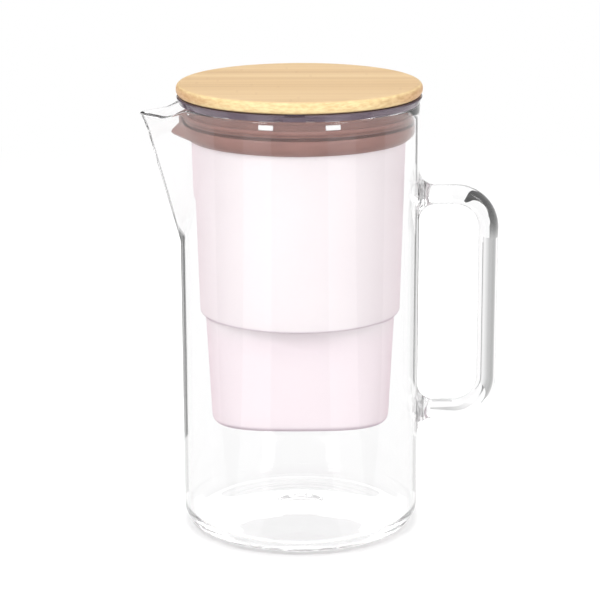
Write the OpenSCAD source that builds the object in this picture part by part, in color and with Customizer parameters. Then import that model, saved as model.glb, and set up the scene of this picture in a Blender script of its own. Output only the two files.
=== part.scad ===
// Water filter pitcher: glass jug with a rod handle, a frosted hopper held in its mouth
// by a silicone collar, a filter cartridge in the hopper's well, and a hinged bamboo lid.
// Millimetres, +Z up. The origin is on the jug's axis, on the surface that it stands on.
// The spout points along -X and the handle along +X.

/* [Jug] */
// Outer diameter of the glass body
jug_d = 120; // [118:0.5:122]
// Height of the glass rim
jug_h = 218.5; // [214:0.5:230]
// Thickness of the glass wall
glass_wall = 2.2; // [2:0.1:2.6]
// Thickness of the glass base
base_t = 3.5; // [3:0.1:5]
// Radius of the rounded heel between wall and base
heel_r = 9.4; // [7:0.2:12]
// Radius of the low dome on the floor inside
dome_r = 44; // [36:0.5:46]
// Height of that dome above the floor
dome_h = 4.5; // [2:0.1:6]
// Radius of the small boss in the middle of the floor
boss_r = 13.4; // [8:0.2:18]
// Height of that boss above the dome
boss_h = 1.4; // [0.6:0.1:2]

/* [Spout] */
// Distance from the jug's axis to the spout's tip
spout_reach = 79.3; // [76:0.1:84]
// Distance from the jug's axis to the throat, where the lip begins to curl out
throat_reach = 76; // [72:0.1:78]
// Height at which the spout leaves the wall
spout_start_z = 148; // [130:1:160]
// Height of the throat
throat_z = 205; // [198:0.5:208]
// Height of the spout's tip above the standing surface
spout_tip_z = 213.4; // [211:0.1:214]
// Radius of the spout's tip in plan
spout_tip_r = 4; // [3:0.1:6]
// Distance from the axis at which the rim begins to dip towards the tip
rim_dip_start = 54; // [50:0.5:58]
// Distance from the axis at which that dip ends
rim_dip_end = 68.5; // [64:0.5:72]

/* [Handle] */
// Diameter of the glass rod
rod_d = 10; // [8:0.1:12]
// Distance from the jug's axis to the middle of the grip
grip_reach = 95.2; // [90:0.1:102]
// Height of the upper arm
arm_top_z = 170.8; // [150:0.1:180]
// Height of the lower arm
arm_bottom_z = 58.4; // [50:0.1:80]
// Radius of the rod's bends, on its middle line
bend_r = 17; // [12:0.5:22]
// Radius of the flare where each arm is welded to the wall
weld_flare_r = 8; // [5:0.5:10]

/* [Hopper] */
// Outer radius of the hopper inside the collar
hopper_top_r = 53; // [52:0.1:53.4]
// Outer radius of the hopper at its step
hopper_step_r = 50.6; // [50:0.1:51]
// Height of the step
step_z = 112.4; // [108:0.1:116]
// Wall thickness of the hopper
hopper_wall = 1.8; // [1.5:0.1:2]
// Half the width of the cartridge well at its top
well_top_w = 47.6; // [46.6:0.1:48]
// Half the width of the cartridge well at its bottom
well_bottom_w = 44.8; // [43:0.1:45.4]
// Half the depth of the cartridge well at its top
well_top_d = 36; // [35:0.1:38]
// Half the depth of the cartridge well at its bottom
well_bottom_d = 33; // [32:0.1:34]
// Height of the well's bottom face
well_z = 56; // [54:0.5:58]
// Diameter of each outlet hole in the well's floor
outlet_d = 4; // [3:0.1:5]

/* [Collar] */
// Height of the collar's bottom edge
collar_z = 201; // [199:0.1:203]
// Outer radius of the collar's bottom edge
collar_bottom_r = 55; // [54.4:0.1:55.6]
// Height of the groove above the lower band
groove_z = 209.2; // [208:0.1:210]
// Distance from the axis to the tip of the beak
beak_reach = 63.2; // [60:0.1:65]
// Distance from the axis to the tip of the splash lip above the beak
lip_reach = 61.6; // [59:0.1:63]
// Width of each lug that buttons through the collar
lug_w = 7.2; // [5:0.1:8]
// Angle from a side's middle to each of its two lugs
lug_angle = 16.2; // [12:0.1:22]

/* [Lid] */
// Diameter of the bamboo board
board_d = 122.6; // [122.2:0.1:123]
// Thickness of the bamboo board
board_t = 6.2; // [6:0.1:6.6]
// Radius of the board's rounded edges
board_edge_r = 2.8; // [2.6:0.1:2.9]
// Height of the smoked ring above the glass rim
ring_h = 3.3; // [3.2:0.1:3.4]
// Outer radius of the smoked ring at its top
ring_top_r = 61.1; // [60.8:0.1:61.2]
// Radius of the filling hole in the ring
filling_r = 49.6; // [49:0.1:49.8]
// Width of the nail slot and of the tongue below it
nail_slot_w = 9.4; // [6:0.1:12]
// Distance by which the slot and tongue sit to the left of the middle
slot_offset = 2.3; // [0:0.1:4]
// Radius of the hinge pin
pin_r = 0.75; // [0.7:0.05:0.8]
// Radius of the hinge knuckles
knuckle_r = 1.5; // [1.4:0.05:1.5]
// Distance of the hinge axis behind the jug's axis
hinge_y = 59.2; // [59:0.1:59.4]

/* [Cartridge] */
// Play between the cartridge and the well all round
cartridge_play = 3; // [2.5:0.1:4]
// Wall thickness of the cartridge
cartridge_wall = 1.6; // [1.2:0.1:2]
// Height of the cartridge's foot above the well's floor
cartridge_foot = 4; // [3:0.5:6]
// Thickness of the resin bed
resin_t = 16; // [10:0.5:18]
// Thickness of each felt pad
felt_t = 2; // [1.5:0.1:3]

/* [Hidden] */

round_fn = 180;   // facets that OpenSCAD itself draws on round faces
plan_fn = 40;     // facets of a whole turn of the well's rounded corners
spout_bite = 1.1; // how far inside the wall the spout's sides start
tip_steps = 8;    // flat steps round the tip of the spout and of the collar's beak
spout_levels = 5; // stretches between the spout's start and its throat
skin = 0.01;      // thickness of a disc that only shapes a hull
past = 1;         // how far a cutter runs past the face that it cuts

jug_r = jug_d / 2;
bore_r = jug_r - glass_wall;
rod_r = rod_d / 2;

// Gap left between parts of different bodies that nearly touch
gap = 0.3;
seal_r = bore_r - gap;

hopper_top_z = jug_h - 0.1;
hopper_taper_z = collar_z - 2;
floor_t = 2;
plan_corner = 18;
lug_h = 2.4;
lug_z = jug_h - 4.8;
lug_sides = [0, 90, 180, 270];
window_play = 0.15;

ring_foot_r = jug_r;
ring_top_z = jug_h + ring_h;
flange_t = 1.8;
flange_top_z = jug_h + flange_t;
recess_r = 57;
frame_skirt_t = 1.2;
frame_skirt_z = jug_h - 6;
notch_w = 4.4;
notch_h = 0.9;
slot_h = 0.9;

board_z = ring_top_z + 0.2;
hinge_z = jug_h + 1.7;
knuckle_w = 6;
hinge_half_w = 12;
hinge_side_gap = 0.3;
plate_z = flange_top_z + 0.4;
plate_r = 55.5;
plug_r = filling_r - 1.4;
plug_z = jug_h - 0.3;
plug_t = 1.4;
gasket_t = 1;
screw_ring_r = 38;
screw_r = 1.2;
screw_head_r = 2.6;
screw_head_t = 1.2;
screw_depth = 4;

cartridge_z = well_z + floor_t + cartridge_foot;
cartridge_top_z = step_z + 0.4;
cap_flange_z = step_z + floor_t + gap;
cap_flange_t = 2;
cap_top_z = cap_flange_z + cap_flange_t + 6;
mesh_t = 0.4;
fill_gap = 0.2;
fill_z = cartridge_z + cartridge_wall;
outlet_mesh_z = fill_z;
felt_bottom_z = outlet_mesh_z + mesh_t;
resin_z = felt_bottom_z + felt_t;
felt_middle_z = resin_z + resin_t;
carbon_z = felt_middle_z + felt_t;
inlet_mesh_z = cartridge_top_z - mesh_t;
felt_top_z = inlet_mesh_z - felt_t;
carbon_t = felt_top_z - carbon_z;

glass_colour = [0.86, 0.94, 0.95, 0.35];
frost_colour = [0.98, 0.93, 0.96, 0.6];
silicone_colour = [0.63, 0.49, 0.47];
smoke_colour = [0.40, 0.36, 0.42, 0.7];
bamboo_colour = [0.94, 0.81, 0.62];
shell_colour = [0.93, 0.93, 0.94];

// A solid of revolution with a rounded heel, from height z up past the rim
module vessel(r, z, heel, top) {
    rotate_extrude($fn = round_fn) {
        translate([0, z]) square([r - heel, top - z]);
        translate([0, z + heel]) square([r, top - z - heel]);
        translate([r - heel, z + heel]) circle(r = heel);
    }
}

// A ball that touches height z on the axis and has sunk by "rise" at radius "r"
module dome(r, rise, z) {
    ball_r = (r * r + rise * rise) / (2 * rise);
    translate([0, 0, z - ball_r]) sphere(r = ball_r, $fn = round_fn);
}

// The plan of a spout or beak at height z, as points counterclockwise from above: a point on
// each side where it leaves the round body of radius side_r, and flat steps round its tip
function beak_ring(side_r, tip_r, reach, z) =
    let (middle = reach - tip_r, spread = acos((side_r - tip_r) / middle))
    concat([[-side_r * cos(spread), side_r * sin(spread), z]],
           [for (k = [0 : tip_steps]) let (a = 180 - spread + 2 * spread * k / tip_steps)
               [tip_r * cos(a) - middle, tip_r * sin(a), z]],
           [[-side_r * cos(spread), -side_r * sin(spread), z]]);

// A solid that runs through such plans, from the lowest to the highest
module ring_stack(rings) {
    n = len(rings[0]);
    last = len(rings) - 1;
    polyhedron(
        points = [for (ring = rings) each ring],
        faces = concat([[for (k = [0 : n - 1]) k]], [[for (k = [n - 1 : -1 : 0]) last * n + k]],
            [for (row = [0 : last - 1], k = [0 : n - 1], half = [0, 1])
                let (a = row * n + k, b = row * n + (k + 1) % n)
                half == 0 ? [a, a + n, b + n] : [a, b + n, b]]));
}

// The spout's outer form, or its inner form when inset by the wall's thickness
module spout_form(inset, top) {
    start_reach = jug_r - 0.6;
    levels = concat(
        [for (k = [0 : spout_levels]) [start_reach, spout_start_z]
            + k / spout_levels * [throat_reach - start_reach, throat_z - spout_start_z]],
        [[spout_reach, spout_tip_z], [spout_reach, top]]);
    ring_stack([for (level = levels)
        beak_ring(jug_r - inset - spout_bite, spout_tip_r - inset, level[0] - inset, level[1])]);
}

// What the rim loses where it dips towards the spout's tip
module rim_dip() {
    translate([0, jug_r, 0]) rotate([90, 0, 0]) linear_extrude(2 * jug_r)
        polygon([[-rim_dip_start, jug_h], [-rim_dip_end, spout_tip_z],
                 [-spout_reach - past, spout_tip_z], [-spout_reach - past, jug_h + 2 * past],
                 [-rim_dip_start, jug_h + 2 * past]]);
}

module glass_body() {
    top = jug_h + past;
    color(glass_colour) difference() {
        union() {
            vessel(jug_r, 0, heel_r, jug_h);
            spout_form(0, jug_h);
        }
        difference() {
            union() {
                vessel(bore_r, base_t, heel_r - glass_wall, top);
                spout_form(glass_wall, top);
            }
            dome(dome_r, dome_h, dome_h + base_t);
            dome(boss_r, boss_h + 0.6, dome_h + base_t + boss_h);
        }
        rim_dip();
    }
}

// One arm of the handle with its flared weld, lying along +X at the height z
module handle_arm(z) {
    translate([bore_r, 0, z]) rotate([0, 90, 0])
        cylinder(r = rod_r, h = grip_reach - bend_r - bore_r, $fn = 64);
    translate([jug_r, 0, z]) rotate([0, 90, 0]) rotate_extrude($fn = 64) difference() {
        translate([0, -glass_wall]) square([rod_r + weld_flare_r, weld_flare_r + glass_wall]);
        translate([rod_r + weld_flare_r, weld_flare_r]) circle(r = weld_flare_r);
    }
}

module handle_bend(z, start) {
    translate([grip_reach - bend_r, 0, z]) rotate([90, 0, 0]) rotate([0, 0, start])
        rotate_extrude(angle = 90, $fn = 96) translate([bend_r, 0]) circle(r = rod_r, $fn = 64);
}

module glass_handle() {
    color(glass_colour) difference() {
        union() {
            handle_arm(arm_top_z);
            handle_arm(arm_bottom_z);
            handle_bend(arm_top_z - bend_r, 0);
            handle_bend(arm_bottom_z + bend_r, -90);
            translate([grip_reach, 0, arm_bottom_z + bend_r])
                cylinder(r = rod_r, h = arm_top_z - arm_bottom_z - 2 * bend_r, $fn = 64);
        }
        cylinder(r = jug_r, h = jug_h, $fn = round_fn);
    }
}

// Plan of the well: round at its ends and flattened at the front and the back
module oval_plan(half_w, half_d) {
    offset(r = plan_corner, $fn = plan_fn) offset(delta = -plan_corner) intersection() {
        circle(r = half_w, $fn = 72);
        square([2 * half_w, 2 * half_d], center = true);
    }
}

function well_w(z) = well_bottom_w + (well_top_w - well_bottom_w) * (z - well_z) / (step_z - well_z);
function well_d(z) = well_bottom_d + (well_top_d - well_bottom_d) * (z - well_z) / (step_z - well_z);

// A tapered block of the well's plan, shrunk by inset, between two heights
module well_block(inset, z_low, z_high) {
    hull() {
        translate([0, 0, z_low]) linear_extrude(skin)
            oval_plan(well_w(z_low) - inset, well_d(z_low) - inset);
        translate([0, 0, z_high - skin]) linear_extrude(skin)
            oval_plan(well_w(z_high) - inset, well_d(z_high) - inset);
    }
}

// The well's outer form, with its bottom edge rounded in three short tapers
module well_outside() {
    edge_r = 3;
    hull() for (a = [0, 30, 60, 90]) {
        z = well_z + edge_r * (1 - cos(a));
        inset = edge_r * (1 - sin(a));
        translate([0, 0, z]) linear_extrude(skin) oval_plan(well_w(z) - inset, well_d(z) - inset);
    }
    well_block(0, well_z + edge_r, step_z + floor_t);
}

module hopper_wall_ring(inset) {
    rotate_extrude($fn = round_fn) polygon([
        [0, step_z + inset], [hopper_step_r - inset, step_z + inset],
        [hopper_top_r - inset, hopper_taper_z], [hopper_top_r - inset, hopper_top_z + (inset > 0 ? past : 0)],
        [0, hopper_top_z + (inset > 0 ? past : 0)]]);
}

// One block at each place where the collar buttons onto the hopper
module at_lugs(w, z_low, z_high, r_low, r_high) {
    for (side = lug_sides, turn = [-lug_angle, lug_angle])
        rotate([0, 0, side + turn]) translate([r_low, -w / 2, z_low])
            cube([r_high - r_low, w, z_high - z_low]);
}

module hopper() {
    outlet_rings = [[0, 1], [9, 6], [18, 12]];
    color(frost_colour) difference() {
        union() {
            hopper_wall_ring(0);
            well_outside();
            at_lugs(lug_w, lug_z, lug_z + lug_h, hopper_top_r - hopper_wall / 2, seal_r - gap);
        }
        hopper_wall_ring(hopper_wall);
        well_block(hopper_wall, well_z + floor_t, step_z + floor_t + past);
        for (ring = outlet_rings, k = [0 : ring[1] - 1])
            rotate([0, 0, 360 * k / ring[1]]) translate([ring[0], 0, well_z - past])
                cylinder(d = outlet_d, h = floor_t + 2 * past, $fn = 24);
    }
}

// The collar's section from its bottom edge up: tapered band, groove, fin, recess and top lip
module collar_section() {
    polygon([
        [hopper_top_r, collar_z], [collar_bottom_r, collar_z],
        [seal_r, collar_z + 5.5], [seal_r, groove_z - 0.5],
        [seal_r - 1.6, groove_z], [seal_r - 1.6, groove_z + 0.8],
        [seal_r - 0.3, groove_z + 1.4], [seal_r - 0.3, groove_z + 2.4],
        [seal_r, groove_z + 3], [seal_r, groove_z + 4],
        [seal_r - 1, lug_z - 0.3], [seal_r - 1, lug_z + lug_h + 0.3],
        [seal_r - 0.2, jug_h - 1.8], [seal_r - 0.5, jug_h - 0.1],
        [hopper_top_r, jug_h - 0.1]]);
}

// A part of the collar that runs out towards the spout, through pairs of reach and height
module beak(levels) {
    ring_stack([for (level = levels) beak_ring(collar_bottom_r - 0.4, 1.2, level[0], level[1])]);
}

module collar_seal() {
    color(silicone_colour) difference() {
        union() {
            rotate_extrude($fn = round_fn) collar_section();
            beak([[beak_reach - 3, collar_z + 0.3], [beak_reach, collar_z + 1.8],
                  [beak_reach, collar_z + 2.6], [seal_r + 0.6, groove_z - 0.7]]);
            beak([[lip_reach - 0.4, groove_z + 2], [lip_reach, groove_z + 2.6], [seal_r + 0.3, groove_z + 4.2]]);
        }
        translate([0, 0, collar_z - past])
            cylinder(r = hopper_top_r, h = jug_h - collar_z + 2 * past, $fn = round_fn);
        at_lugs(lug_w + 2 * window_play, lug_z - window_play, lug_z + lug_h + window_play,
                hopper_top_r - past, jug_r);
    }
}

// A round bar along X at the hinge's axis, between two distances from the middle
module hinge_bar(r, x_low, x_high) {
    translate([x_low, hinge_y, hinge_z]) rotate([0, 90, 0])
        cylinder(r = r, h = x_high - x_low, $fn = 48);
}

module lid_frame() {
    ear_w = hinge_half_w - knuckle_w - hinge_side_gap;
    front_y = -jug_r - 2 * past;
    color(smoke_colour) difference() {
        union() {
            difference() {
                rotate_extrude($fn = round_fn) polygon([
                    [filling_r, frame_skirt_z], [filling_r + frame_skirt_t, frame_skirt_z],
                    [filling_r + frame_skirt_t, jug_h], [ring_foot_r, jug_h],
                    [ring_top_r, ring_top_z - 0.5], [ring_top_r - 0.4, ring_top_z],
                    [recess_r, ring_top_z], [recess_r, flange_top_z], [filling_r, flange_top_z]]);
                translate([-hinge_half_w - hinge_side_gap, recess_r - 3, flange_top_z - 0.5])
                    cube([2 * (hinge_half_w + hinge_side_gap), 10, ring_h]);
            }
            for (side = [-1, 1]) translate([side * (hinge_half_w - ear_w / 2), 0, 0]) {
                hinge_bar(knuckle_r, -ear_w / 2, ear_w / 2);
                translate([-ear_w / 2, recess_r, jug_h + 0.1])
                    cube([ear_w, hinge_y - recess_r, hinge_z - jug_h]);
            }
        }
        hinge_bar(pin_r, -hinge_half_w - past, hinge_half_w + past);
        translate([-knuckle_w - hinge_side_gap, hinge_y - knuckle_r - 0.4, jug_h - past])
            cube([2 * (knuckle_w + hinge_side_gap), 10, 10]);
        translate([-slot_offset - nail_slot_w / 2, front_y, ring_top_z - slot_h])
            cube([nail_slot_w, 4.5, slot_h + past]);
        for (side = [-1, 1])
            translate([-slot_offset + side * (nail_slot_w + notch_w + 1.4) / 2 - notch_w / 2,
                       front_y, jug_h - past])
                cube([notch_w, 4, notch_h + past]);
    }
}

module hinge_pin() {
    color("silver") hinge_bar(pin_r, -hinge_half_w, hinge_half_w);
}

module at_screws() {
    for (k = [0 : 2]) rotate([0, 0, 120 * k + 30]) translate([screw_ring_r, 0, 0]) children();
}

module bamboo_board() {
    r = board_d / 2;
    color(bamboo_colour) difference() {
        rotate_extrude($fn = round_fn) {
            translate([0, board_z]) square([r - board_edge_r, board_t]);
            translate([0, board_z + board_edge_r]) square([r, board_t - 2 * board_edge_r]);
            for (z = [board_z + board_edge_r, board_z + board_t - board_edge_r])
                translate([r - board_edge_r, z]) circle(r = board_edge_r);
        }
        at_screws() translate([0, 0, board_z - past])
            cylinder(r = screw_r, h = screw_depth + past, $fn = 24);
    }
}

module lid_plate() {
    color(smoke_colour) difference() {
        union() {
            translate([0, 0, plate_z]) cylinder(r = plate_r, h = board_z - plate_z, $fn = round_fn);
            rotate_extrude($fn = round_fn) translate([plug_r - plug_t - gasket_t, plug_z])
                square([plug_t, plate_z - plug_z + 0.2]);
            at_screws() translate([0, 0, plug_z + 0.6])
                cylinder(r = screw_head_r + 1, h = plate_z - plug_z, $fn = 32);
            hinge_bar(knuckle_r, -knuckle_w, knuckle_w);
            translate([-knuckle_w, plate_r - 3, plate_z])
                cube([2 * knuckle_w, hinge_y - plate_r + 3, hinge_z + knuckle_r - plate_z]);
        }
        hinge_bar(pin_r + 0.05, -knuckle_w - past, knuckle_w + past);
        at_screws() translate([0, 0, plug_z - past])
            cylinder(r = screw_r, h = board_z - plug_z + 2 * past, $fn = 24);
    }
}

module lid_gasket() {
    groove_t = 0.5;
    color(silicone_colour) rotate_extrude($fn = round_fn)
        translate([plug_r - gasket_t, plug_z + groove_t])
            square([gasket_t, plate_z - plug_z - 2 * groove_t]);
}

module lid_screws() {
    head_z = plug_z + 0.6 - screw_head_t;
    color("silver") at_screws() {
        translate([0, 0, head_z]) cylinder(r = screw_head_r, h = screw_head_t, $fn = 32);
        translate([0, 0, head_z + screw_head_t])
            cylinder(r = screw_r, h = board_z + screw_depth - head_z - screw_head_t, $fn = 24);
    }
}

// The cartridge's outer form between two heights, shrunk by inset
module cartridge_block(inset, z_low, z_high) {
    well_block(hopper_wall + cartridge_play + inset, z_low, z_high);
}

module cartridge_shell() {
    slot_count = 12;
    color(shell_colour) difference() {
        cartridge_block(0, cartridge_z, cartridge_top_z);
        cartridge_block(cartridge_wall, fill_z, cartridge_top_z + past);
        for (k = [0 : slot_count - 1]) rotate([0, 0, 360 * k / slot_count])
            translate([8, -0.8, cartridge_z - past]) cube([16, 1.6, cartridge_wall + 2 * past]);
    }
}

module cartridge_cap() {
    plug_w = well_w(step_z) - hopper_wall - cartridge_play;
    plug_d = well_d(step_z) - hopper_wall - cartridge_play;
    slot_count = 16;
    color(shell_colour) difference() {
        union() {
            translate([0, 0, cartridge_top_z]) linear_extrude(cap_flange_z - cartridge_top_z)
                oval_plan(plug_w, plug_d);
            translate([0, 0, cap_flange_z]) linear_extrude(cap_flange_t)
                oval_plan(hopper_step_r - hopper_wall - 2 * gap, well_top_d + 1.4);
            cap_dome(0, cap_flange_z + cap_flange_t, cap_top_z);
            cap_grip(cap_top_z);
        }
        cap_dome(cartridge_wall, cartridge_top_z - past, cap_top_z - cartridge_wall);
        for (k = [0 : slot_count - 1]) rotate([0, 0, 360 * (k + 0.5) / slot_count])
            translate([13, -0.8, cap_top_z - 2 * cartridge_wall]) cube([6, 1.6, 3 * cartridge_wall]);
    }
}

// The low dome of the cap between two heights, shrunk by inset
module cap_dome(inset, z_low, z_high) {
    hull() {
        translate([0, 0, z_low]) linear_extrude(skin) oval_plan(38 - inset, 28 - inset);
        translate([0, 0, z_high - skin]) linear_extrude(skin) oval_plan(30 - inset, 21 - inset);
    }
}

// The arch on the cap that a finger hooks to lift the cartridge out
module cap_grip(z) {
    grip_w = 7;
    grip_t = 2.5;
    arch_r = 11;
    translate([0, grip_w / 2, z - 0.5]) rotate([90, 0, 0]) linear_extrude(grip_w) difference() {
        circle(r = arch_r, $fn = 64);
        circle(r = arch_r - grip_t, $fn = 64);
        translate([-2 * arch_r, -2 * arch_r]) square([4 * arch_r, 2 * arch_r]);
    }
}

module cartridge_seal() {
    ring_z = step_z - 4;
    ring_t = 2.4;
    color(silicone_colour) difference() {
        translate([0, 0, ring_z]) linear_extrude(ring_t)
            oval_plan(well_w(ring_z) - hopper_wall - gap, well_d(ring_z) - hopper_wall - gap);
        cartridge_block(0, ring_z - past, ring_z + ring_t + past);
    }
}

// A layer that fills the cartridge's inside between two heights
module fill_layer(z_low, z_high) {
    cartridge_block(cartridge_wall + fill_gap, z_low, z_high);
}

module outlet_mesh() { color("gainsboro") fill_layer(outlet_mesh_z, felt_bottom_z); }
module felt_bottom() { color("ivory") fill_layer(felt_bottom_z, resin_z); }
module resin_bed() { color([0.86, 0.62, 0.25]) fill_layer(resin_z, felt_middle_z); }
module felt_middle() { color("ivory") fill_layer(felt_middle_z, carbon_z); }
module carbon_bed() { color([0.12, 0.12, 0.12]) fill_layer(carbon_z, carbon_z + carbon_t); }
module felt_top() { color("ivory") fill_layer(felt_top_z, inlet_mesh_z); }
module inlet_mesh() { color("gainsboro") fill_layer(inlet_mesh_z, cartridge_top_z); }

glass_body();
glass_handle();
hopper();
collar_seal();
lid_frame();
hinge_pin();
bamboo_board();
lid_plate();
lid_gasket();
lid_screws();
cartridge_shell();
cartridge_cap();
cartridge_seal();
inlet_mesh();
outlet_mesh();
felt_top();
felt_middle();
felt_bottom();
carbon_bed();
resin_bed();
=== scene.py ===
"""Dresses the water filter pitcher: smooth glass, a frosted hopper in a silicone collar, and a bamboo lid.

Metres, +Z up, in the CAD's frame: the origin is on the jug's axis where it stands, the spout points
along -X, the handle along +X, and the camera stands at -Y.
"""

import math

import bmesh
import bpy
import numpy as np
from mathutils import Matrix, Vector

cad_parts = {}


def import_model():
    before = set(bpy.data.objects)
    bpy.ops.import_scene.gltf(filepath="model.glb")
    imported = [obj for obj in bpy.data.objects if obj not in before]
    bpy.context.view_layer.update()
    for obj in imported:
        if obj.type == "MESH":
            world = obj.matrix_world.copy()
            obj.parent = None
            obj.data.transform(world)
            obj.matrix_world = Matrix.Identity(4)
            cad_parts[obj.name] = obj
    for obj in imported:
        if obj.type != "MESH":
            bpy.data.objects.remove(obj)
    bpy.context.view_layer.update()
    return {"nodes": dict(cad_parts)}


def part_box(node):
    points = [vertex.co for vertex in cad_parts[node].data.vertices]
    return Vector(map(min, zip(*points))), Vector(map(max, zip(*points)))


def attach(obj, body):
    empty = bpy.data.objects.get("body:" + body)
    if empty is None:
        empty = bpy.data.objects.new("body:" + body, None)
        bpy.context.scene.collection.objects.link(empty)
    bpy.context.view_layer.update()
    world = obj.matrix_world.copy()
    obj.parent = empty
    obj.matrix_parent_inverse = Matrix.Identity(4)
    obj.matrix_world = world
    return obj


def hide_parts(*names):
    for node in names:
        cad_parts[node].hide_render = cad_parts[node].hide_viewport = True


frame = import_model()
nodes = frame["nodes"]

MM = 0.001

# Sizes of the CAD model in metres, read from its boxes or else the same as in its source
GLASS_LOW, GLASS_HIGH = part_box("glass_body")
JUG_R = GLASS_HIGH[0]
RIM_Z = GLASS_HIGH[2]
SPOUT_REACH = -GLASS_LOW[0]
WALL = 2.2 * MM
BASE_T = 3.5 * MM
HEEL_R = 9.4 * MM
STEP_Z = 112.4 * MM
WELL_Z = 56 * MM


# ---------------------------------------------------------------- mesh helpers

def new_object(name, verts, faces, body, material, smooth_angle=40):
    """A mesh object with one material, which rides on a body where one is named."""
    mesh = bpy.data.meshes.new(name)
    mesh.from_pydata([tuple(v) for v in verts], [], faces)
    mesh.validate()
    face_outward(mesh)
    obj = bpy.data.objects.new(name, mesh)
    bpy.context.scene.collection.objects.link(obj)
    mesh.materials.append(material)
    shade(obj, smooth_angle)
    if body:
        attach(obj, body)
    return obj


def face_outward(mesh):
    bm = bmesh.new()
    bm.from_mesh(mesh)
    bmesh.ops.recalc_face_normals(bm, faces=bm.faces)
    bm.to_mesh(mesh)
    bm.free()


def shade(obj, smooth_angle=40):
    """Smooth faces, with edges sharper than the angle kept sharp."""
    mesh = obj.data
    mesh.polygons.foreach_set("use_smooth", [True] * len(mesh.polygons))
    mesh.set_sharp_from_angle(angle=math.radians(smooth_angle))


def grid_faces(rows, cols, wrap=True, closed_rows=False):
    """Quads between rows of cols points, with the columns, and if asked the rows, joined round."""
    faces = []
    for j in range(rows if closed_rows else rows - 1):
        for i in range(cols if wrap else cols - 1):
            a, b = j * cols + i, j * cols + (i + 1) % cols
            c, d = ((j + 1) % rows) * cols + (i + 1) % cols, ((j + 1) % rows) * cols + i
            faces.append((a, b, c, d))
    return faces


def arc(cx, cy, r, start, end, steps):
    """Points along an arc, angles in degrees."""
    return [(cx + r * math.cos(math.radians(a)), cy + r * math.sin(math.radians(a)))
            for a in np.linspace(start, end, steps)]


def lerp(a, b, t):
    return a + (b - a) * t


def smoothstep(a, b, x):
    t = min(1.0, max(0.0, (x - a) / (b - a)))
    return t * t * (3 - 2 * t)


# ------------------------------------------------------------------- materials

def linear(r, g, b):
    """An sRGB colour of 0 to 255 as the linear colour that a shader takes."""
    def channel(c):
        c /= 255
        return c / 12.92 if c <= 0.04045 else ((c + 0.055) / 1.055) ** 2.4
    return (channel(r), channel(g), channel(b), 1.0)


WHITE = (1, 1, 1, 1)


class Tree:
    """A node tree, with short calls to add and link nodes."""

    def __init__(self, tree):
        self.tree = tree

    def add(self, kind, inputs=None, **settings):
        n = self.tree.nodes.new("ShaderNode" + kind)
        for key, value in settings.items():
            setattr(n, key, value)
        for key, value in (inputs or {}).items():
            self.put(n, key, value)
        return n

    def put(self, n, key, value):
        """Links an input to another node's output, or sets it to a constant."""
        socket = n.inputs[key]
        if isinstance(value, bpy.types.NodeSocket):
            self.tree.links.new(value, socket)
        else:
            socket.default_value = value

    def math(self, operation, a, b=0.0, c=0.0):
        return self.add("Math", {0: a, 1: b, 2: c}, operation=operation).outputs[0]

    def range(self, value, low, high):
        """A value of 0 to 1, spread from low to high."""
        return self.add("MapRange", {"Value": value, "To Min": low, "To Max": high}).outputs["Result"]

    def mask(self, value, none, full):
        """0 where the value is at none, rising or falling smoothly to 1 where it is at full."""
        return self.add("MapRange", {"Value": value, "From Min": none, "From Max": full},
                        interpolation_type="SMOOTHSTEP").outputs["Result"]


class Graph(Tree):
    """A new material's node tree, with textures, colours and shaders."""

    def __init__(self, name):
        self.material = bpy.data.materials.new(name)
        self.material.use_nodes = True
        super().__init__(self.material.node_tree)
        self.shader = self.tree.nodes["Principled BSDF"]
        self.output = self.tree.nodes["Material Output"]

    def principled(self, **inputs):
        for key, value in inputs.items():
            self.put(self.shader, key.replace("_", " "), value)

    def surface(self, shader):
        self.put(self.output, "Surface", shader)

    def point(self):
        """A point on the object, in the object's own frame."""
        return self.add("TexCoord").outputs["Object"]

    def split(self, vector):
        """The X, Y and Z of a vector."""
        return self.add("SeparateXYZ", {"Vector": vector}).outputs

    def scaled(self, scale):
        return self.add("Mapping", {"Vector": self.point(), "Scale": scale}).outputs["Vector"]

    def noise(self, scale, detail=4.0, roughness=0.55):
        return self.add("TexNoise", {"Vector": self.scaled(scale), "Scale": 1.0, "Detail": detail,
                                     "Roughness": roughness}).outputs["Fac"]

    def ramp(self, factor, stops):
        n = self.add("ValToRGB", {"Fac": factor})
        while len(n.color_ramp.elements) < len(stops):
            n.color_ramp.elements.new(0.5)
        for element, (place, colour) in zip(n.color_ramp.elements, stops):
            element.position = place
            element.color = colour
        return n.outputs["Color"]

    def bump(self, height, strength, distance):
        return self.add("Bump", {"Height": height, "Strength": strength,
                                 "Distance": distance}).outputs["Normal"]

    def near(self, value, middle, none, full=0.0):
        """1 within full of the middle, falling smoothly to 0 where the value is none away from it."""
        return self.mask(self.math("ABSOLUTE", self.math("SUBTRACT", value, middle)), none, full)

    def blend(self, share, colour, other):
        """From one colour to another, by a share of 0 to 1."""
        n = self.add("Mix", data_type="RGBA")
        for place, value in ((0, share), (6, colour), (7, other)):
            self.put(n, place, value)
        return n.outputs[2]

    def mix(self, share, shader, other):
        """From one shader to another, by a share of 0 to 1."""
        return self.add("MixShader", {0: share, 1: shader, 2: other}).outputs[0]

    def glow(self, strength, colour=WHITE):
        return self.add("Emission", {"Color": colour, "Strength": strength}).outputs[0]

    def hide(self, hidden, shader):
        """The shader, clear where hidden is 1."""
        return self.mix(hidden, shader, self.add("BsdfTransparent").outputs[0])

    def let_lamps_through(self, share=0.9):
        """Light from lamps passes the clear surface, as it does through real glass."""
        shadow = self.add("LightPath").outputs["Is Shadow Ray"]
        self.surface(self.hide(self.math("MULTIPLY", shadow, share), self.shader.outputs[0]))


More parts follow.
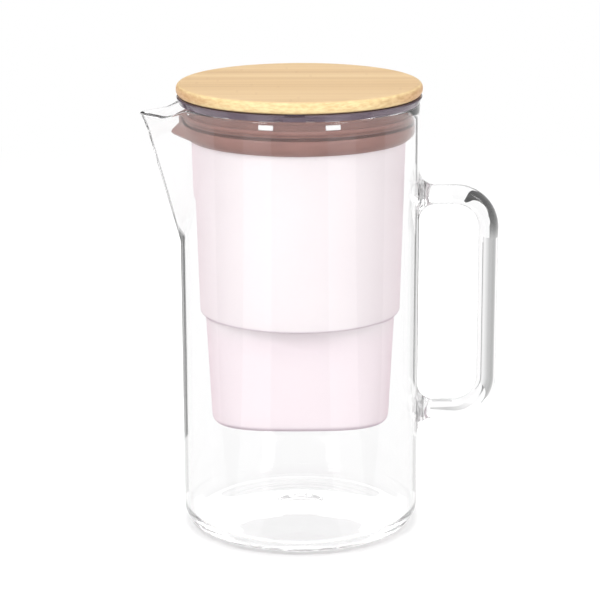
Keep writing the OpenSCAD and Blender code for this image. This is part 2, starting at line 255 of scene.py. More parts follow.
def glass_material(name, colour, waviness):
    g = Graph(name)
    ripple = g.noise((18, 18, 7), detail=1.5)
    g.principled(Base_Color=colour, Roughness=0.0, IOR=1.47, Transmission_Weight=1.0,
                 Normal=g.bump(ripple, waviness, 0.002))
    g.let_lamps_through()
    return g.material


def smoked_material(name, transmission=0.6):
    g = Graph(name)
    streak = g.noise((30, 30, 300), detail=3)
    tint = g.ramp(streak, [(0.3, linear(146, 128, 144)), (0.7, linear(168, 150, 164))])
    g.principled(Base_Color=tint, Roughness=0.06, IOR=1.5, Transmission_Weight=transmission,
                 Normal=g.bump(streak, 0.05, 0.0005))
    g.let_lamps_through(0.6)
    return g.material


def frosted_material(name, transmission=0.1, coat=1.0):
    """Pale pink plastic that lets light through, pinker in the well, with painted shade along the step's
    edge and the well's bottom edge, where the thicker plastic looks darker.
    """
    g = Graph(name)
    grain = g.noise((900, 900, 900), detail=3)
    cloud = g.noise((22, 22, 12), detail=2)
    tint = g.ramp(cloud, [(0.3, linear(253, 251, 252)), (0.7, linear(255, 254, 254))])
    height = g.split(g.point())["Z"]
    tint = g.blend(g.mask(height, STEP_Z, STEP_Z - 12 * MM), tint, linear(255, 249, 252))
    # Painted shade: a darker violet band at the step's edge and the well's bottom edge, where light passes
    # through more plastic
    painted_edge_shade = g.math("MAXIMUM", g.near(height, STEP_Z, 1.6 * MM), g.near(height, WELL_Z + 1 * MM, 2.2 * MM))
    edge_shaded_tint = g.blend(g.math("MULTIPLY", painted_edge_shade, 0.55), tint, linear(190, 172, 190))
    g.principled(Base_Color=edge_shaded_tint, Roughness=0.35, IOR=1.3, Transmission_Weight=transmission,
                 Coat_Weight=coat, Coat_Roughness=0.4, Coat_IOR=1.05, Coat_Tint=(0.985, 0.94, 0.955, 1.0),
                 Normal=g.bump(grain, 0.1, 0.0002))
    g.let_lamps_through(0.6)
    return g.material


def silicone_material(name, dark, light, painted_groove_shade=()):
    """Matt silicone, with painted shade in grooves given as (height, half width, share of shade)."""
    g = Graph(name)
    cloud = g.noise((60, 60, 60), detail=3)
    colour = g.ramp(cloud, [(0.3, dark), (0.7, light)])
    height = g.split(g.point())["Z"]
    # Painted shade: each groove is darkened towards a deep brown, where shade falls
    for z, half, share in painted_groove_shade:
        groove_shade = g.near(height, z, half, half * 0.6)
        colour = g.blend(g.math("MULTIPLY", groove_shade, share), colour, linear(52, 34, 30))
    dust = g.noise((1600, 1600, 1600), detail=2)
    g.principled(Base_Color=colour, Roughness=g.range(dust, 0.42, 0.6), Sheen_Weight=0.2,
                 Sheen_Roughness=0.4, Normal=g.bump(dust, 0.15, 0.0002))
    return g.material


def bamboo_material(name):
    """Edge-glued bamboo strips along X, with fibres and a few nodes, and a paler, yellower side edge of
    painted light from the lamps on the rounded edge, that turns to darker end grain at the ends of the
    strips."""
    g = Graph(name)
    strip_w, gap_share = 6.5 * MM, 0.035
    node_pitch, node_w = 70 * MM, 0.6 * MM
    where = g.split(g.point())
    facing = g.split(g.add("TexCoord").outputs["Normal"])
    along = where["X"]
    strips_across = g.math("DIVIDE", where["Y"], strip_w)
    strip = g.math("FLOOR", strips_across)
    strip_tone = g.add("TexWhiteNoise", {"W": strip}, noise_dimensions="1D").outputs["Value"]
    fibre = g.noise((7, 1100, 1100), detail=5, roughness=0.65)
    streak = g.noise((3, 190, 190), detail=3)
    shifted = g.math("ADD", along, g.math("MULTIPLY", strip_tone, 0.31))
    node = g.math("LESS_THAN", g.math("PINGPONG", shifted, node_pitch), node_w)
    tone = g.math("ADD", g.math("MULTIPLY", strip_tone, 0.22),
                  g.math("ADD", g.math("MULTIPLY", fibre, 0.45), g.math("MULTIPLY", streak, 0.45)))
    flat = g.ramp(tone, [(0.30, linear(214, 176, 128)), (0.52, linear(231, 196, 148)),
                         (0.80, linear(243, 213, 167))])
    side = g.mask(g.math("ABSOLUTE", facing["Z"]), 0.97, 0.7)
    end = g.math("MULTIPLY", side, g.mask(g.math("ABSOLUTE", facing["X"]), 0.45, 0.95))
    fleck = g.noise((260, 260, 900), detail=3)
    # Painted light: the sides are paler and yellower, as the lamps light the board's rounded edge
    edge = g.ramp(fleck, [(0.35, linear(240, 206, 148)), (0.65, linear(255, 232, 176))])
    grain_end = g.ramp(fleck, [(0.35, linear(206, 158, 108)), (0.65, linear(226, 184, 134))])
    # The painted light on the sides, then darker end grain at the strips' ends
    wood = g.blend(side, flat, edge)
    wood = g.blend(end, wood, grain_end)
    wood = g.blend(g.math("MULTIPLY", node, 0.12), wood, linear(196, 150, 104))
    gap = g.math("LESS_THAN", g.math("FRACT", strips_across), gap_share)
    on_top = g.math("SUBTRACT", 1.0, side)
    wood = g.blend(g.math("MULTIPLY", g.math("MULTIPLY", gap, on_top), 0.2), wood, linear(190, 150, 106))
    g.principled(Base_Color=wood, Roughness=g.range(fibre, 0.38, 0.58),
                 Normal=g.bump(fibre, 0.25, 0.0003))
    return g.material


def steel_material(name):
    g = Graph(name)
    brushed = g.noise((40, 2500, 2500), detail=2)
    g.principled(Base_Color=linear(196, 196, 200), Metallic=1.0,
                 Roughness=g.range(brushed, 0.22, 0.38), Normal=g.bump(brushed, 0.1, 0.0001))
    return g.material


def moulded_material(name, dark, light, roughness=0.45):
    g = Graph(name)
    texture = g.noise((1400, 1400, 1400), detail=2)
    cloud = g.noise((40, 40, 40), detail=2)
    g.principled(Base_Color=g.ramp(cloud, [(0.3, dark), (0.7, light)]),
                 Roughness=g.range(texture, roughness - 0.06, roughness + 0.08),
                 Normal=g.bump(texture, 0.12, 0.0002))
    return g.material


def felt_material(name):
    g = Graph(name)
    fluff = g.noise((2200, 2200, 2200), detail=6, roughness=0.7)
    g.principled(Base_Color=g.ramp(fluff, [(0.3, linear(206, 202, 192)), (0.7, linear(240, 237, 230))]),
                 Roughness=0.95, Sheen_Weight=0.4, Normal=g.bump(fluff, 0.6, 0.0006))
    return g.material


def mesh_material(name):
    """A fine square weave."""
    g = Graph(name)
    pitch = 0.6 * MM
    where = g.split(g.point())
    waves = [g.math("SINE", g.math("MULTIPLY", where[axis], 2 * math.pi / pitch)) for axis in ("X", "Y")]
    weave = g.math("MULTIPLY", waves[0], waves[1])
    g.principled(Base_Color=g.ramp(g.range(weave, 0.2, 0.8),
                                   [(0.2, linear(170, 170, 168)), (0.8, linear(232, 232, 228))]),
                 Roughness=0.6, Normal=g.bump(weave, 0.5, 0.0002))
    return g.material


def granule_material(name, dark, light, size, roughness):
    g = Graph(name)
    grains = g.add("TexVoronoi", {"Vector": g.scaled((1, 1, 1)), "Scale": 1 / size})
    g.principled(Base_Color=g.ramp(grains.outputs["Distance"], [(0.0, light), (0.7, dark)]),
                 Roughness=roughness, Normal=g.bump(grains.outputs["Distance"], -0.8, size / 2))
    return g.material


GLASS = glass_material("clear_glass", (0.995, 0.994, 0.995, 1), 0.05)
SMOKE = smoked_material("smoked_plastic")
# The plate lies flat on the board, which leaves no light to come through it
SMOKE_PLATE = smoked_material("smoked_plate", transmission=0.0)
FROST = frosted_material("frosted_plastic")
# Painted light: a brighter copy of the hopper's plastic, without its tinted coat or light through it, for
# the lugs that catch the softboxes
FROST_LUG_LIT = frosted_material("frosted_lug_lit", transmission=0.0, coat=0.0)
# The brown collar, with painted shade in its grooves and recess at these heights
SILICONE = silicone_material("brown_silicone", linear(141, 98, 90), linear(153, 110, 101),
                             ((209.5 * MM, 1.0 * MM, 0.5), (211.4 * MM, 0.5 * MM, 0.3),
                              (214.9 * MM, 1.6 * MM, 0.2)))
WHITE_SILICONE = silicone_material("white_silicone", linear(214, 210, 206), linear(232, 229, 226))
BAMBOO = bamboo_material("bamboo")
STEEL = steel_material("steel")
PLASTIC = moulded_material("white_plastic", linear(228, 228, 230), linear(240, 240, 240))
FELT = felt_material("filter_felt")
WEAVE = mesh_material("woven_mesh")
CARBON = granule_material("carbon", linear(12, 12, 12), linear(58, 58, 58), 1.6 * MM, 0.5)
RESIN = granule_material("resin", linear(150, 88, 28), linear(232, 178, 92), 1.1 * MM, 0.3)

for node, material in {
        "lid_frame": SMOKE, "hinge_pin": STEEL, "bamboo_board": BAMBOO, "lid_plate": SMOKE_PLATE,
        "lid_gasket": WHITE_SILICONE, "lid_screws": STEEL, "cartridge_shell": PLASTIC,
        "cartridge_cap": PLASTIC, "cartridge_seal": WHITE_SILICONE, "inlet_mesh": WEAVE,
        "outlet_mesh": WEAVE, "felt_top": FELT, "felt_middle": FELT, "felt_bottom": FELT,
        "carbon_bed": CARBON, "resin_bed": RESIN, "hopper": FROST, "collar_seal": SILICONE}.items():
    for material_slot in nodes[node].material_slots:
        material_slot.material = material


# ----------------------------------------------------------------- glass body

SPOUT_START_Z = 146 * MM
THROAT_Z, THROAT_REACH = 205 * MM, 76 * MM
TIP_Z = 213.4 * MM
TIP_R_LOW, TIP_R_HIGH = 16 * MM, 4 * MM
DIP_START, DIP_END = 54 * MM, 68.5 * MM
# The spout's foot starts this far inside the wall
FOOT_INSET = 0.4 * MM
# How many directions lie on the spout's round tip, on its straight side and on the body, on each side,
# and the least angles that the tip and the side take up, also below the spout
TIP_STEPS, SIDE_STEPS, BODY_STEPS = 13, 17, 121
LEAST_TIP, LEAST_SIDE = math.radians(2), math.radians(8)
# The push-up under the glass, and the dome and boss of its floor above BASE_T, by radius in millimetres
PUSH_UP = [(2, 4.48), (8, 4.35), (15, 3.95), (22, 3.35), (30, 2.3), (38, 1.0), (44, 0.25), (47, 0.0)]
FLOOR_DOME = [(2, 3.0), (7, 3.05), (10, 3.2), (11.6, 3.5), (12.8, 3.85), (14, 3.98), (16, 3.85),
              (18, 3.7), (22, 3.35), (30, 2.3), (38, 1.0), (44, 0.25), (48, 0.0)]
WALL_HEIGHTS = [20, 40, 60, 80, 100, 120, 135, 143, *np.arange(146, 205, 2.0), 205, 207, 209, 212]


def spout_reach(z):
    """How far the spout's front stands from the axis at height z."""
    if z < THROAT_Z:
        t = (z - SPOUT_START_Z) / (THROAT_Z - SPOUT_START_Z)
        return lerp(JUG_R - FOOT_INSET, THROAT_REACH, t)
    t = min(1.0, (z - THROAT_Z) / (TIP_Z - THROAT_Z))
    return lerp(THROAT_REACH, SPOUT_REACH, t)


def spout_plan(z, inset):
    """The spout's plan at height z: the radius of its round tip, the distance of that tip's middle from
    the axis, and the directions in which the tip and the straight sides end; None below the spout."""
    body_r = JUG_R - inset
    reach = spout_reach(z) - inset
    if z <= SPOUT_START_Z or reach <= body_r + 0.01 * MM:
        return None
    t = smoothstep(SPOUT_START_Z, THROAT_Z, z)
    tip_r = max(0.5 * MM, lerp(TIP_R_LOW, TIP_R_HIGH, t) - inset)
    middle = reach - tip_r
    side_end = math.acos((body_r - tip_r) / middle)
    tip_end = math.atan2(tip_r * math.sin(side_end), middle + tip_r * math.cos(side_end))
    return tip_r, middle, tip_end, side_end


def jug_radius(angle, z, inset):
    """The jug's radius in the direction that lies angle radians from the spout's, at height z."""
    body_r = JUG_R - inset
    plan = spout_plan(z, inset)
    a = abs(angle)
    if not plan or a >= plan[3]:
        return body_r
    tip_r, middle, tip_end, side_end = plan
    if a > tip_end:
        return body_r / math.cos(side_end - a)
    return middle * math.cos(a) + math.sqrt(max(0.0, tip_r**2 - (middle * math.sin(a))**2))


def rim_height(angle):
    """The rim's height in one direction: it dips a little towards the spout's tip."""
    x = jug_radius(angle, TIP_Z, 0) * math.cos(angle)
    return lerp(RIM_Z, TIP_Z, smoothstep(DIP_START, DIP_END, x))


def jug_angles(z=0.0, inset=0.0):
    """Directions round the jug from the spout, set so that the same ones always lie on the round tip,
    on the straight sides and on the round body."""
    plan = spout_plan(z, inset)
    tip_end, side_end = plan[2:] if plan else (0.0, 0.0)
    tip_end, side_end = max(tip_end, LEAST_TIP), max(side_end, LEAST_SIDE)
    half = [tip_end * t for t in np.linspace(0, 1, TIP_STEPS)]
    half += [lerp(tip_end, side_end, t) for t in np.linspace(0, 1, SIDE_STEPS)[1:]]
    half += [lerp(side_end, math.pi, t) for t in np.linspace(0, 1, BODY_STEPS)[1:]]
    return half + [-a for a in reversed(half[1:-1])]


def glass_body():
    """The jug as rings of points: out under its base, up the wall, over the rim, and back down inside."""
    def round_ring(r, z):
        return [(-r * math.cos(a), r * math.sin(a), z) for a in jug_angles()]

    def wall_ring(z, inset):
        return [(-jug_radius(a, z, inset) * math.cos(a), jug_radius(a, z, inset) * math.sin(a), z)
                for a in jug_angles(z, inset)]

    def rim_ring(drop, inset):
        ring = []
        for a in jug_angles(TIP_Z, inset):
            r = jug_radius(a, rim_height(a), inset)
            ring.append((-r * math.cos(a), r * math.sin(a), rim_height(a) - drop))
        return ring

    push_up = [(r * MM, h * MM) for r, h in PUSH_UP]
    heel = arc(JUG_R - HEEL_R, HEEL_R, HEEL_R, -90, 0, 19)
    inner_heel_r = HEEL_R - WALL
    inner_heel = arc(JUG_R - WALL - inner_heel_r, BASE_T + inner_heel_r, inner_heel_r, -90, 0, 19)
    dome = [(r * MM, BASE_T + h * MM) for r, h in FLOOR_DOME]

    rings = [round_ring(r, z) for r, z in push_up + heel]
    rings += [wall_ring(z * MM, 0) for z in WALL_HEIGHTS]
    # The fire-polished rim: a half round between the outer and the inner wall
    edge = WALL / 2
    for turn in np.linspace(0, math.pi, 9):
        rings.append(rim_ring(edge * (1 - math.sin(turn)), edge * (1 - math.cos(turn))))
    rings += [wall_ring(z * MM, WALL) for z in reversed(WALL_HEIGHTS)]
    rings += [round_ring(r, z) for r, z in [*reversed(inner_heel), *reversed(dome)]]

    n = len(rings[0])
    verts = [p for ring in rings for p in ring] + [(0, 0, rings[0][0][2]), (0, 0, rings[-1][0][2])]
    last, under, over = (len(rings) - 1) * n, len(rings) * n, len(rings) * n + 1
    faces = grid_faces(len(rings), n)
    faces += [((i + 1) % n, i, under) for i in range(n)]
    faces += [(last + i, last + (i + 1) % n, over) for i in range(n)]
    body = new_object("glass_jug", verts, faces, "jug", GLASS, 50)
    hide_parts("glass_body")


# --------------------------------------------------------------- glass handle

ROD_R = 5 * MM
GRIP_X = 95.2 * MM
ARM_TOP_Z, ARM_BOTTOM_Z = 170.8 * MM, 58.4 * MM
BEND_R = 17 * MM
FLARE_R = 8 * MM
# The rod's ends lie just inside the wall's outer face
ROD_START_X = 59 * MM
WELD_INSET = 0.1 * MM
ARM_STEPS, BEND_STEPS, GRIP_STEPS, ROD_SIDES = 24, 20, 20, 48


def glass_handle():
    """A rod swept along its middle line, flared where each end meets the wall."""
    arm_xs = np.linspace(ROD_START_X, GRIP_X - BEND_R, ARM_STEPS)
    grip_zs = np.linspace(ARM_TOP_Z - BEND_R, ARM_BOTTOM_Z + BEND_R, GRIP_STEPS)
    line = [(x, ARM_TOP_Z) for x in arm_xs]
    line += arc(GRIP_X - BEND_R, ARM_TOP_Z - BEND_R, BEND_R, 90, 0, BEND_STEPS)[1:]
    line += [(GRIP_X, z) for z in grip_zs[1:]]
    line += arc(GRIP_X - BEND_R, ARM_BOTTOM_Z + BEND_R, BEND_R, 0, -90, BEND_STEPS)[1:]
    line += [(x, ARM_BOTTOM_Z) for x in arm_xs[::-1][1:]]
    verts = []
    for k, (x, z) in enumerate(line):
        before, after = line[max(0, k - 1)], line[min(len(line) - 1, k + 1)]
        along = Vector((after[0] - before[0], 0, after[1] - before[1])).normalized()
        across = Vector((-along.z, 0, along.x))
        off = x - JUG_R
        r = ROD_R
        if off < FLARE_R:
            s = min(1.0, (FLARE_R - max(off, 0.0)) / FLARE_R)
            r = ROD_R + FLARE_R * (1 - math.sqrt(1 - min(s, 0.999)**2))
        for i in range(ROD_SIDES):
            a = 2 * math.pi * i / ROD_SIDES
            p = Vector((x, 0, z)) + across * (r * math.cos(a)) + Vector((0, r * math.sin(a), 0))
            if k in (0, len(line) - 1):
                p.x = math.sqrt(max(0.0, (JUG_R - WELD_INSET)**2 - p.y**2))
            elif off < FLARE_R:
                # The flare follows the round wall
                p.x -= (JUG_R - math.sqrt(max(0.0, JUG_R**2 - p.y**2))) * (1 - off / FLARE_R)
            verts.append(tuple(p))
    faces = grid_faces(len(line), ROD_SIDES)
    faces.append(tuple(reversed(range(ROD_SIDES))))
    faces.append(tuple((len(line) - 1) * ROD_SIDES + i for i in range(ROD_SIDES)))
    handle = new_object("glass_rod_handle", verts, faces, "jug", GLASS, 60)
    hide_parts("glass_handle")


glass_body()
glass_handle()


# ---------------------------------------------------------------------- hopper

STEP_R = 50.6 * MM
HOPPER_R = 53 * MM
HOPPER_TOP_Z = RIM_Z - 0.1 * MM
TAPER_END_Z = 199 * MM
HOPPER_WALL = 1.8 * MM
SHELF_T = 2 * MM
WELL_EDGE_R = 3.2 * MM
OUTLET_RINGS = ((0, 1), (9 * MM, 6), (18 * MM, 12))
OUTLET_R = 2 * MM
OUTLET_STEPS = 24
HOPPER_STEPS = 192
WELL_TOP = (47.6 * MM, 36 * MM)
WELL_BOTTOM = (44.8 * MM, 33 * MM)
# How full the corners of the well's oval are; 2 is a plain ellipse
WELL_POWER = 3.2


def well_radius(angle, z, inset):
    """The oval well's radius in one direction: an ellipse with fuller corners."""
    t = (z - WELL_Z) / (STEP_Z - WELL_Z)
    a = lerp(WELL_BOTTOM[0], WELL_TOP[0], t) - inset
    b = lerp(WELL_BOTTOM[1], WELL_TOP[1], t) - inset
    return (abs(math.cos(angle) / a)**WELL_POWER + abs(math.sin(angle) / b)**WELL_POWER)**(-1 / WELL_POWER)


def turned_rows(profile, steps):
    """Rows of points round the axis, from (radius, height) pairs or (function of angle, height)."""
    rows = []
    for r, z in profile:
        row = []
        for i in range(steps):
            a = 2 * math.pi * i / steps
            here = r(a) if callable(r) else r
            row.append((here * math.cos(a), here * math.sin(a), z))
        rows.append(row)
    return rows


def floor_with_outlets(obj):
    """Closes the well's open lower end with its floor, which the rings of round outlets go through."""
    bm = bmesh.new()
    bm.from_mesh(obj.data)
    rims = [edge for edge in bm.edges if edge.is_boundary]
    turns = [2 * math.pi * i / OUTLET_STEPS for i in range(OUTLET_STEPS)]
    faces_of_floor = []
    for z in (WELL_Z, WELL_Z + SHELF_T):
        edges = [edge for edge in rims if abs(edge.verts[0].co.z - z) < 0.1 * MM]
        outlets = []
        for ring_r, count in OUTLET_RINGS:
            for k in range(count):
                way = 2 * math.pi * k / count
                middle = ring_r * Vector((math.cos(way), math.sin(way), 0))
                circle = [bm.verts.new(middle + Vector((OUTLET_R * math.cos(a), OUTLET_R * math.sin(a), z)))
                          for a in turns]
                edges += [bm.edges.new((circle[i - 1], circle[i])) for i in range(OUTLET_STEPS)]
                outlets.append(circle)
        bmesh.ops.triangle_fill(bm, use_beauty=True, edges=edges)
        faces_of_floor.append(outlets)
    for under, over in zip(*faces_of_floor):
        for i in range(OUTLET_STEPS):
            bm.faces.new((under[i - 1], under[i], over[i], over[i - 1]))
    bmesh.ops.recalc_face_normals(bm, faces=bm.faces)
    bm.to_mesh(obj.data)
    bm.free()
    shade(obj, 45)


def hopper():
    """The funnel's section from the edge of the well's floor out, up, over the lip and back inside."""
    def well(z, inset, share=1.0):
        return (lambda a: well_radius(a, z, inset) * share, z)

    edge = WELL_EDGE_R
    bottom = [well(WELL_Z, edge, share) for share in (0.9, 1.0)]
    corner = [well(WELL_Z + edge * (1 - math.cos(math.radians(a))),
                   edge * (1 - math.sin(math.radians(a)))) for a in (15, 30, 45, 60, 75, 90)]
    side = [well(z, 0) for z in np.linspace(WELL_Z + edge, STEP_Z - 1.2 * MM, 8)[1:]]
    fillet = [(lambda a, s=s: well_radius(a, STEP_Z, 0) + s * MM, STEP_Z + h * MM)
              for s, h in ((0.25, -0.5), (0.9, 0.0))]
    shelf = [(STEP_R - 2.2 * MM, STEP_Z), (STEP_R - 1.0 * MM, STEP_Z)]
    shelf += [(STEP_R - 0.9 * MM + x, STEP_Z + y) for x, y in arc(0, 0.9 * MM, 0.9 * MM, -90, 0, 6)]
    wall = [(lerp(STEP_R, HOPPER_R, t), lerp(STEP_Z, TAPER_END_Z, t)) for t in np.linspace(0.05, 1, 8)]
    lip = [(HOPPER_R, HOPPER_TOP_Z - 0.4 * MM), (HOPPER_R - 0.4 * MM, HOPPER_TOP_Z),
           (HOPPER_R - HOPPER_WALL + 0.4 * MM, HOPPER_TOP_Z),
           (HOPPER_R - HOPPER_WALL, HOPPER_TOP_Z - 0.4 * MM)]
    inner_wall = [(r - HOPPER_WALL, z) for r, z in reversed(wall[1:])]
    shelf_z = STEP_Z + SHELF_T
    inner_shelf = [(STEP_R - HOPPER_WALL, shelf_z + 1 * MM), (STEP_R - HOPPER_WALL - 0.6 * MM, shelf_z)]
    inner_side = [(lambda a, z=z: well_radius(a, z, HOPPER_WALL), z)
                  for z in np.linspace(shelf_z, WELL_Z + 3 * MM, 8)]
    inner_floor = [well(WELL_Z + SHELF_T, HOPPER_WALL + 2 * MM, share) for share in (1.0, 0.9)]
    profile = bottom + corner + side + fillet + shelf + wall + lip + inner_wall + inner_shelf
    profile += inner_side + inner_floor
    rows = turned_rows(profile, HOPPER_STEPS)
    obj = new_object("frosted_hopper", [p for row in rows for p in row],
                     grid_faces(len(rows), HOPPER_STEPS), "hopper_unit", FROST, 45)
    floor_with_outlets(obj)
    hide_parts("hopper")


# ----------------------------------------------------------------------- collar

SEAL_R = JUG_R - WALL - 0.3 * MM
COLLAR_STEPS = 360
LUG_D = 1.6 * MM
LUG_W, LUG_H, LUG_Z = 7.2 * MM, 2.4 * MM, RIM_Z - 4.8 * MM
LUG_ANGLE = 16.2
# The collar's outer section from its bottom edge up, as (radius, height) in millimetres, with the
# last number the reach of what runs out towards the spout at that height, or 0
COLLAR_SECTION = [
    (53.05, 201.0, 0), (54.7, 201.0, 0), (55.0, 201.3, 58.5), (55.9, 202.1, 61.8), (56.9, 203.3, 63.1),
    (57.4, 204.8, 62.4), (57.5, 206.5, 60.6), (57.5, 208.2, 58.6), (57.2, 208.8, 0), (56.0, 209.1, 0),
    (55.9, 209.9, 0), (57.1, 210.4, 0), (57.2, 211.3, 59.0), (57.3, 211.5, 61.0), (57.4, 212.2, 61.5),
    (57.5, 213.0, 59.8), (57.3, 213.5, 0), (56.5, 213.6, 0), (56.4, 214.9, 0), (56.5, 216.3, 0),
    (57.0, 216.7, 0), (57.2, 217.6, 0), (57.0, 218.2, 0), (56.4, 218.4, 0), (53.05, 218.4, 0)]


def beak_radius(angle, body_r, reach, tip_r=1.2 * MM):
    """The radius of a round body drawn out to a tip along -X, in the direction angle from +X."""
    if reach <= body_r:
        return body_r
    a = abs(math.pi - angle % (2 * math.pi))
    middle = reach - tip_r
    spread = math.acos((body_r - tip_r) / middle)
    if a >= spread:
        return body_r
    if a > math.atan2(tip_r * math.sin(spread), middle + tip_r * math.cos(spread)):
        return body_r / math.cos(spread - a)
    return middle * math.cos(a) + math.sqrt(max(0.0, tip_r**2 - (middle * math.sin(a))**2))


def collar():
    profile = [(lambda a, r=r, reach=reach: beak_radius(a, r * MM, reach * MM), z * MM)
               for r, z, reach in COLLAR_SECTION]
    rows = turned_rows(profile, COLLAR_STEPS)
    verts = [p for row in rows for p in row]
    obj = new_object("silicone_collar", verts, grid_faces(len(rows), COLLAR_STEPS, closed_rows=True),
                     "hopper_unit", SILICONE, 35)
    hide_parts("collar_seal")


def rounded_block(size, edge, steps=3):
    """The points and faces of a block with rounded edges, centred on the origin."""
    bm = bmesh.new()
    bmesh.ops.create_cube(bm, size=1.0)
    bmesh.ops.scale(bm, vec=size, verts=bm.verts)
    bmesh.ops.bevel(bm, geom=bm.edges, offset=edge, segments=steps, affect="EDGES", profile=0.5)
    verts = [v.co.copy() for v in bm.verts]
    bm.verts.index_update()
    faces = [tuple(v.index for v in f.verts) for f in bm.faces]
    bm.free()
    return verts, faces


def collar_lugs():
    """The hopper's lugs, which show as pale blocks in the collar's windows, in a brighter copy of its
    plastic as painted light.
    """
    block, block_faces = rounded_block((LUG_D, LUG_W, LUG_H), 0.35 * MM)
    verts, faces = [], []
    for side in (0, 90, 180, 270):
        for turn in (-LUG_ANGLE, LUG_ANGLE):
            place = (Matrix.Rotation(math.radians(side + turn), 4, "Z")
                     @ Matrix.Translation((SEAL_R - 0.35 * MM - LUG_D / 2, 0, LUG_Z + LUG_H / 2)))
            faces += [tuple(i + len(verts) for i in f) for f in block_faces]
            verts += [place @ v for v in block]
    obj = new_object("hopper_lugs", verts, faces, "hopper_unit", FROST_LUG_LIT, 30)


hopper()
collar()
collar_lugs()


# ------------------------------------------------------------- floor and light

FLOOR_DROP = 0.3 * MM
# Light that has run long inside the glass, by its number of bounces, comes out dimmer by a share
TRAPPED_DEPTHS = (6, 10)
TRAPPED_LOSS = 0.32
# The floor's own light for the camera, the distances from the object over which it turns plain white
# for the camera, and the share of plain white in what glass and metal see of it
FLOOR_LIFT = 0.2
WHITE_FROM, WHITE_FULL = 0.25, 0.9
SEEN_SHARE = 0.85
# The world's strength as light on the object; to the camera, in reflections and through glass it is 1
WORLD_LIGHT = 0.6
LAMP_TARGET = Vector((0, 0, 0.11))


def share_left(tree, path):
    """The share that is left of light, by how often it has bounced."""
    trapped = tree.mask(path["Ray Depth"], *TRAPPED_DEPTHS)
    return tree.math("MULTIPLY_ADD", trapped, -TRAPPED_LOSS, 1.0)


def floor_and_backdrop():
    """A floor that curves up behind the object, white to the camera."""
    width, near, far, rise, bend = 3.0, -1.6, 1.2, 1.6, 0.5
    line = [(near, 0.0), (far - bend, 0.0)]
    line += [(far - bend + bend * math.sin(t), bend - bend * math.cos(t))
             for t in np.linspace(0, math.pi / 2, 16)[1:]]
    line.append((far, rise))
    verts = [(x, y, z - FLOOR_DROP) for y, z in line for x in (-width, width)]
    floor = new_object("floor", verts, grid_faces(len(line), 2, wrap=False), None, floor_material())
    if floor.data.polygons[0].normal.z < 0:
        floor.data.flip_normals()


def floor_material():
    """White, and lifted a little for the camera and for what is seen through glass or in metal."""
    g = Graph("floor")
    speck = g.noise((400, 400, 400), detail=2)
    g.principled(Base_Color=g.ramp(speck, [(0.4, linear(250, 250, 250)), (0.6, linear(254, 254, 254))]),
                 Roughness=0.9)
    path = g.add("LightPath").outputs
    camera_ray = path["Is Camera Ray"]
    lifted = g.add("AddShader", {0: g.shader.outputs[0],
                                 1: g.glow(g.math("MULTIPLY", camera_ray, FLOOR_LIFT))}).outputs[0]
    distance = g.add("VectorMath", {0: g.point()}, operation="LENGTH").outputs["Value"]
    away = g.mask(distance, WHITE_FROM, WHITE_FULL)
    lifted = g.mix(g.math("MULTIPLY", away, camera_ray), lifted, g.glow(1.0))
    seen_through = g.math("MAXIMUM", path["Is Glossy Ray"], path["Is Transmission Ray"])
    floor = g.mix(g.math("MULTIPLY", seen_through, SEEN_SHARE), lifted, g.glow(share_left(g, path)))
    # Seen from behind or below, the floor isn't there
    g.surface(g.hide(g.add("NewGeometry").outputs["Backfacing"], floor))
    return g.material


# A flag is seen through two surfaces of glass at the most
DEEPEST_SURFACE = 2.5


def flag(name, corners, greys, seen_by, strength=1.0, along=None):
    """A flat card with its greys spread evenly along its first edge, or from one point to another, and
    seen only from its front, either in reflections or through glass."""
    g = Graph(name)
    g.tree.nodes.remove(g.shader)
    low, high = along or corners[:2]
    span = Vector(high) - Vector(low)
    across = g.add("VectorMath", {0: g.point(), 1: tuple(low)}, operation="SUBTRACT").outputs["Vector"]
    place = g.add("VectorMath", {0: across, 1: tuple(span / span.length_squared)},
                  operation="DOT_PRODUCT").outputs["Value"]
    shade_of = g.ramp(place, [(i / (len(greys) - 1), linear(grey, grey, grey))
                              for i, grey in enumerate(greys)])
    hidden = g.add("NewGeometry").outputs["Backfacing"]
    if seen_by == "glass":
        # Only light that has gone in and out of one stretch of glass meets the card, so it draws the
        # edges of walls and rods, and doesn't show through the jug from another side
        depth = g.add("LightPath").outputs["Transmission Depth"]
        hidden = g.math("MAXIMUM", hidden, g.math("GREATER_THAN", depth, DEEPEST_SURFACE))
    g.surface(g.hide(hidden, g.glow(strength, shade_of)))
    mesh = bpy.data.meshes.new(name)
    mesh.from_pydata(corners, [], [tuple(range(len(corners)))])
    mesh.materials.append(g.material)
    obj = bpy.data.objects.new(name, mesh)
    bpy.context.scene.collection.objects.link(obj)
    obj.visible_camera = False
    obj.visible_diffuse = False
    obj.visible_shadow = False
    obj.visible_glossy = seen_by == "reflections"
    obj.visible_transmission = seen_by == "glass"


def upright_flag(name, y, x_range, z_range, greys):
    """A flag that stands behind the object, parallel to the picture."""
    (x0, x1), (z0, z1) = x_range, z_range
    flag(name, [(x0, y, z0), (x1, y, z0), (x1, y, z1), (x0, y, z1)], greys, "glass")


def outline_flag(name, y, outline, greys, low, high):
    """An upright flag with an outline of (x, z) in millimetres, and its greys from low to high."""
    flag(name, [(x * MM, y, z * MM) for x, z in outline], greys, "glass", along=(low, high))


def slanted_flag(name, left, right, greys):
    """A flag between two upright ends, each (x, y, bottom, top) in millimetres. It is slanted so that it
    shows its unseen back to a camera that stands well to its side."""
    (xa, ya, low_a, high_a), (xb, yb, low_b, high_b) = left, right
    corners = [(xa, ya, low_a), (xb, yb, low_b), (xb, yb, high_b), (xa, ya, high_a)]
    flag(name, [tuple(v * MM for v in corner) for corner in corners], greys, "glass",
         along=((xa * MM, ya * MM, 0), (xb * MM, yb * MM, 0)))


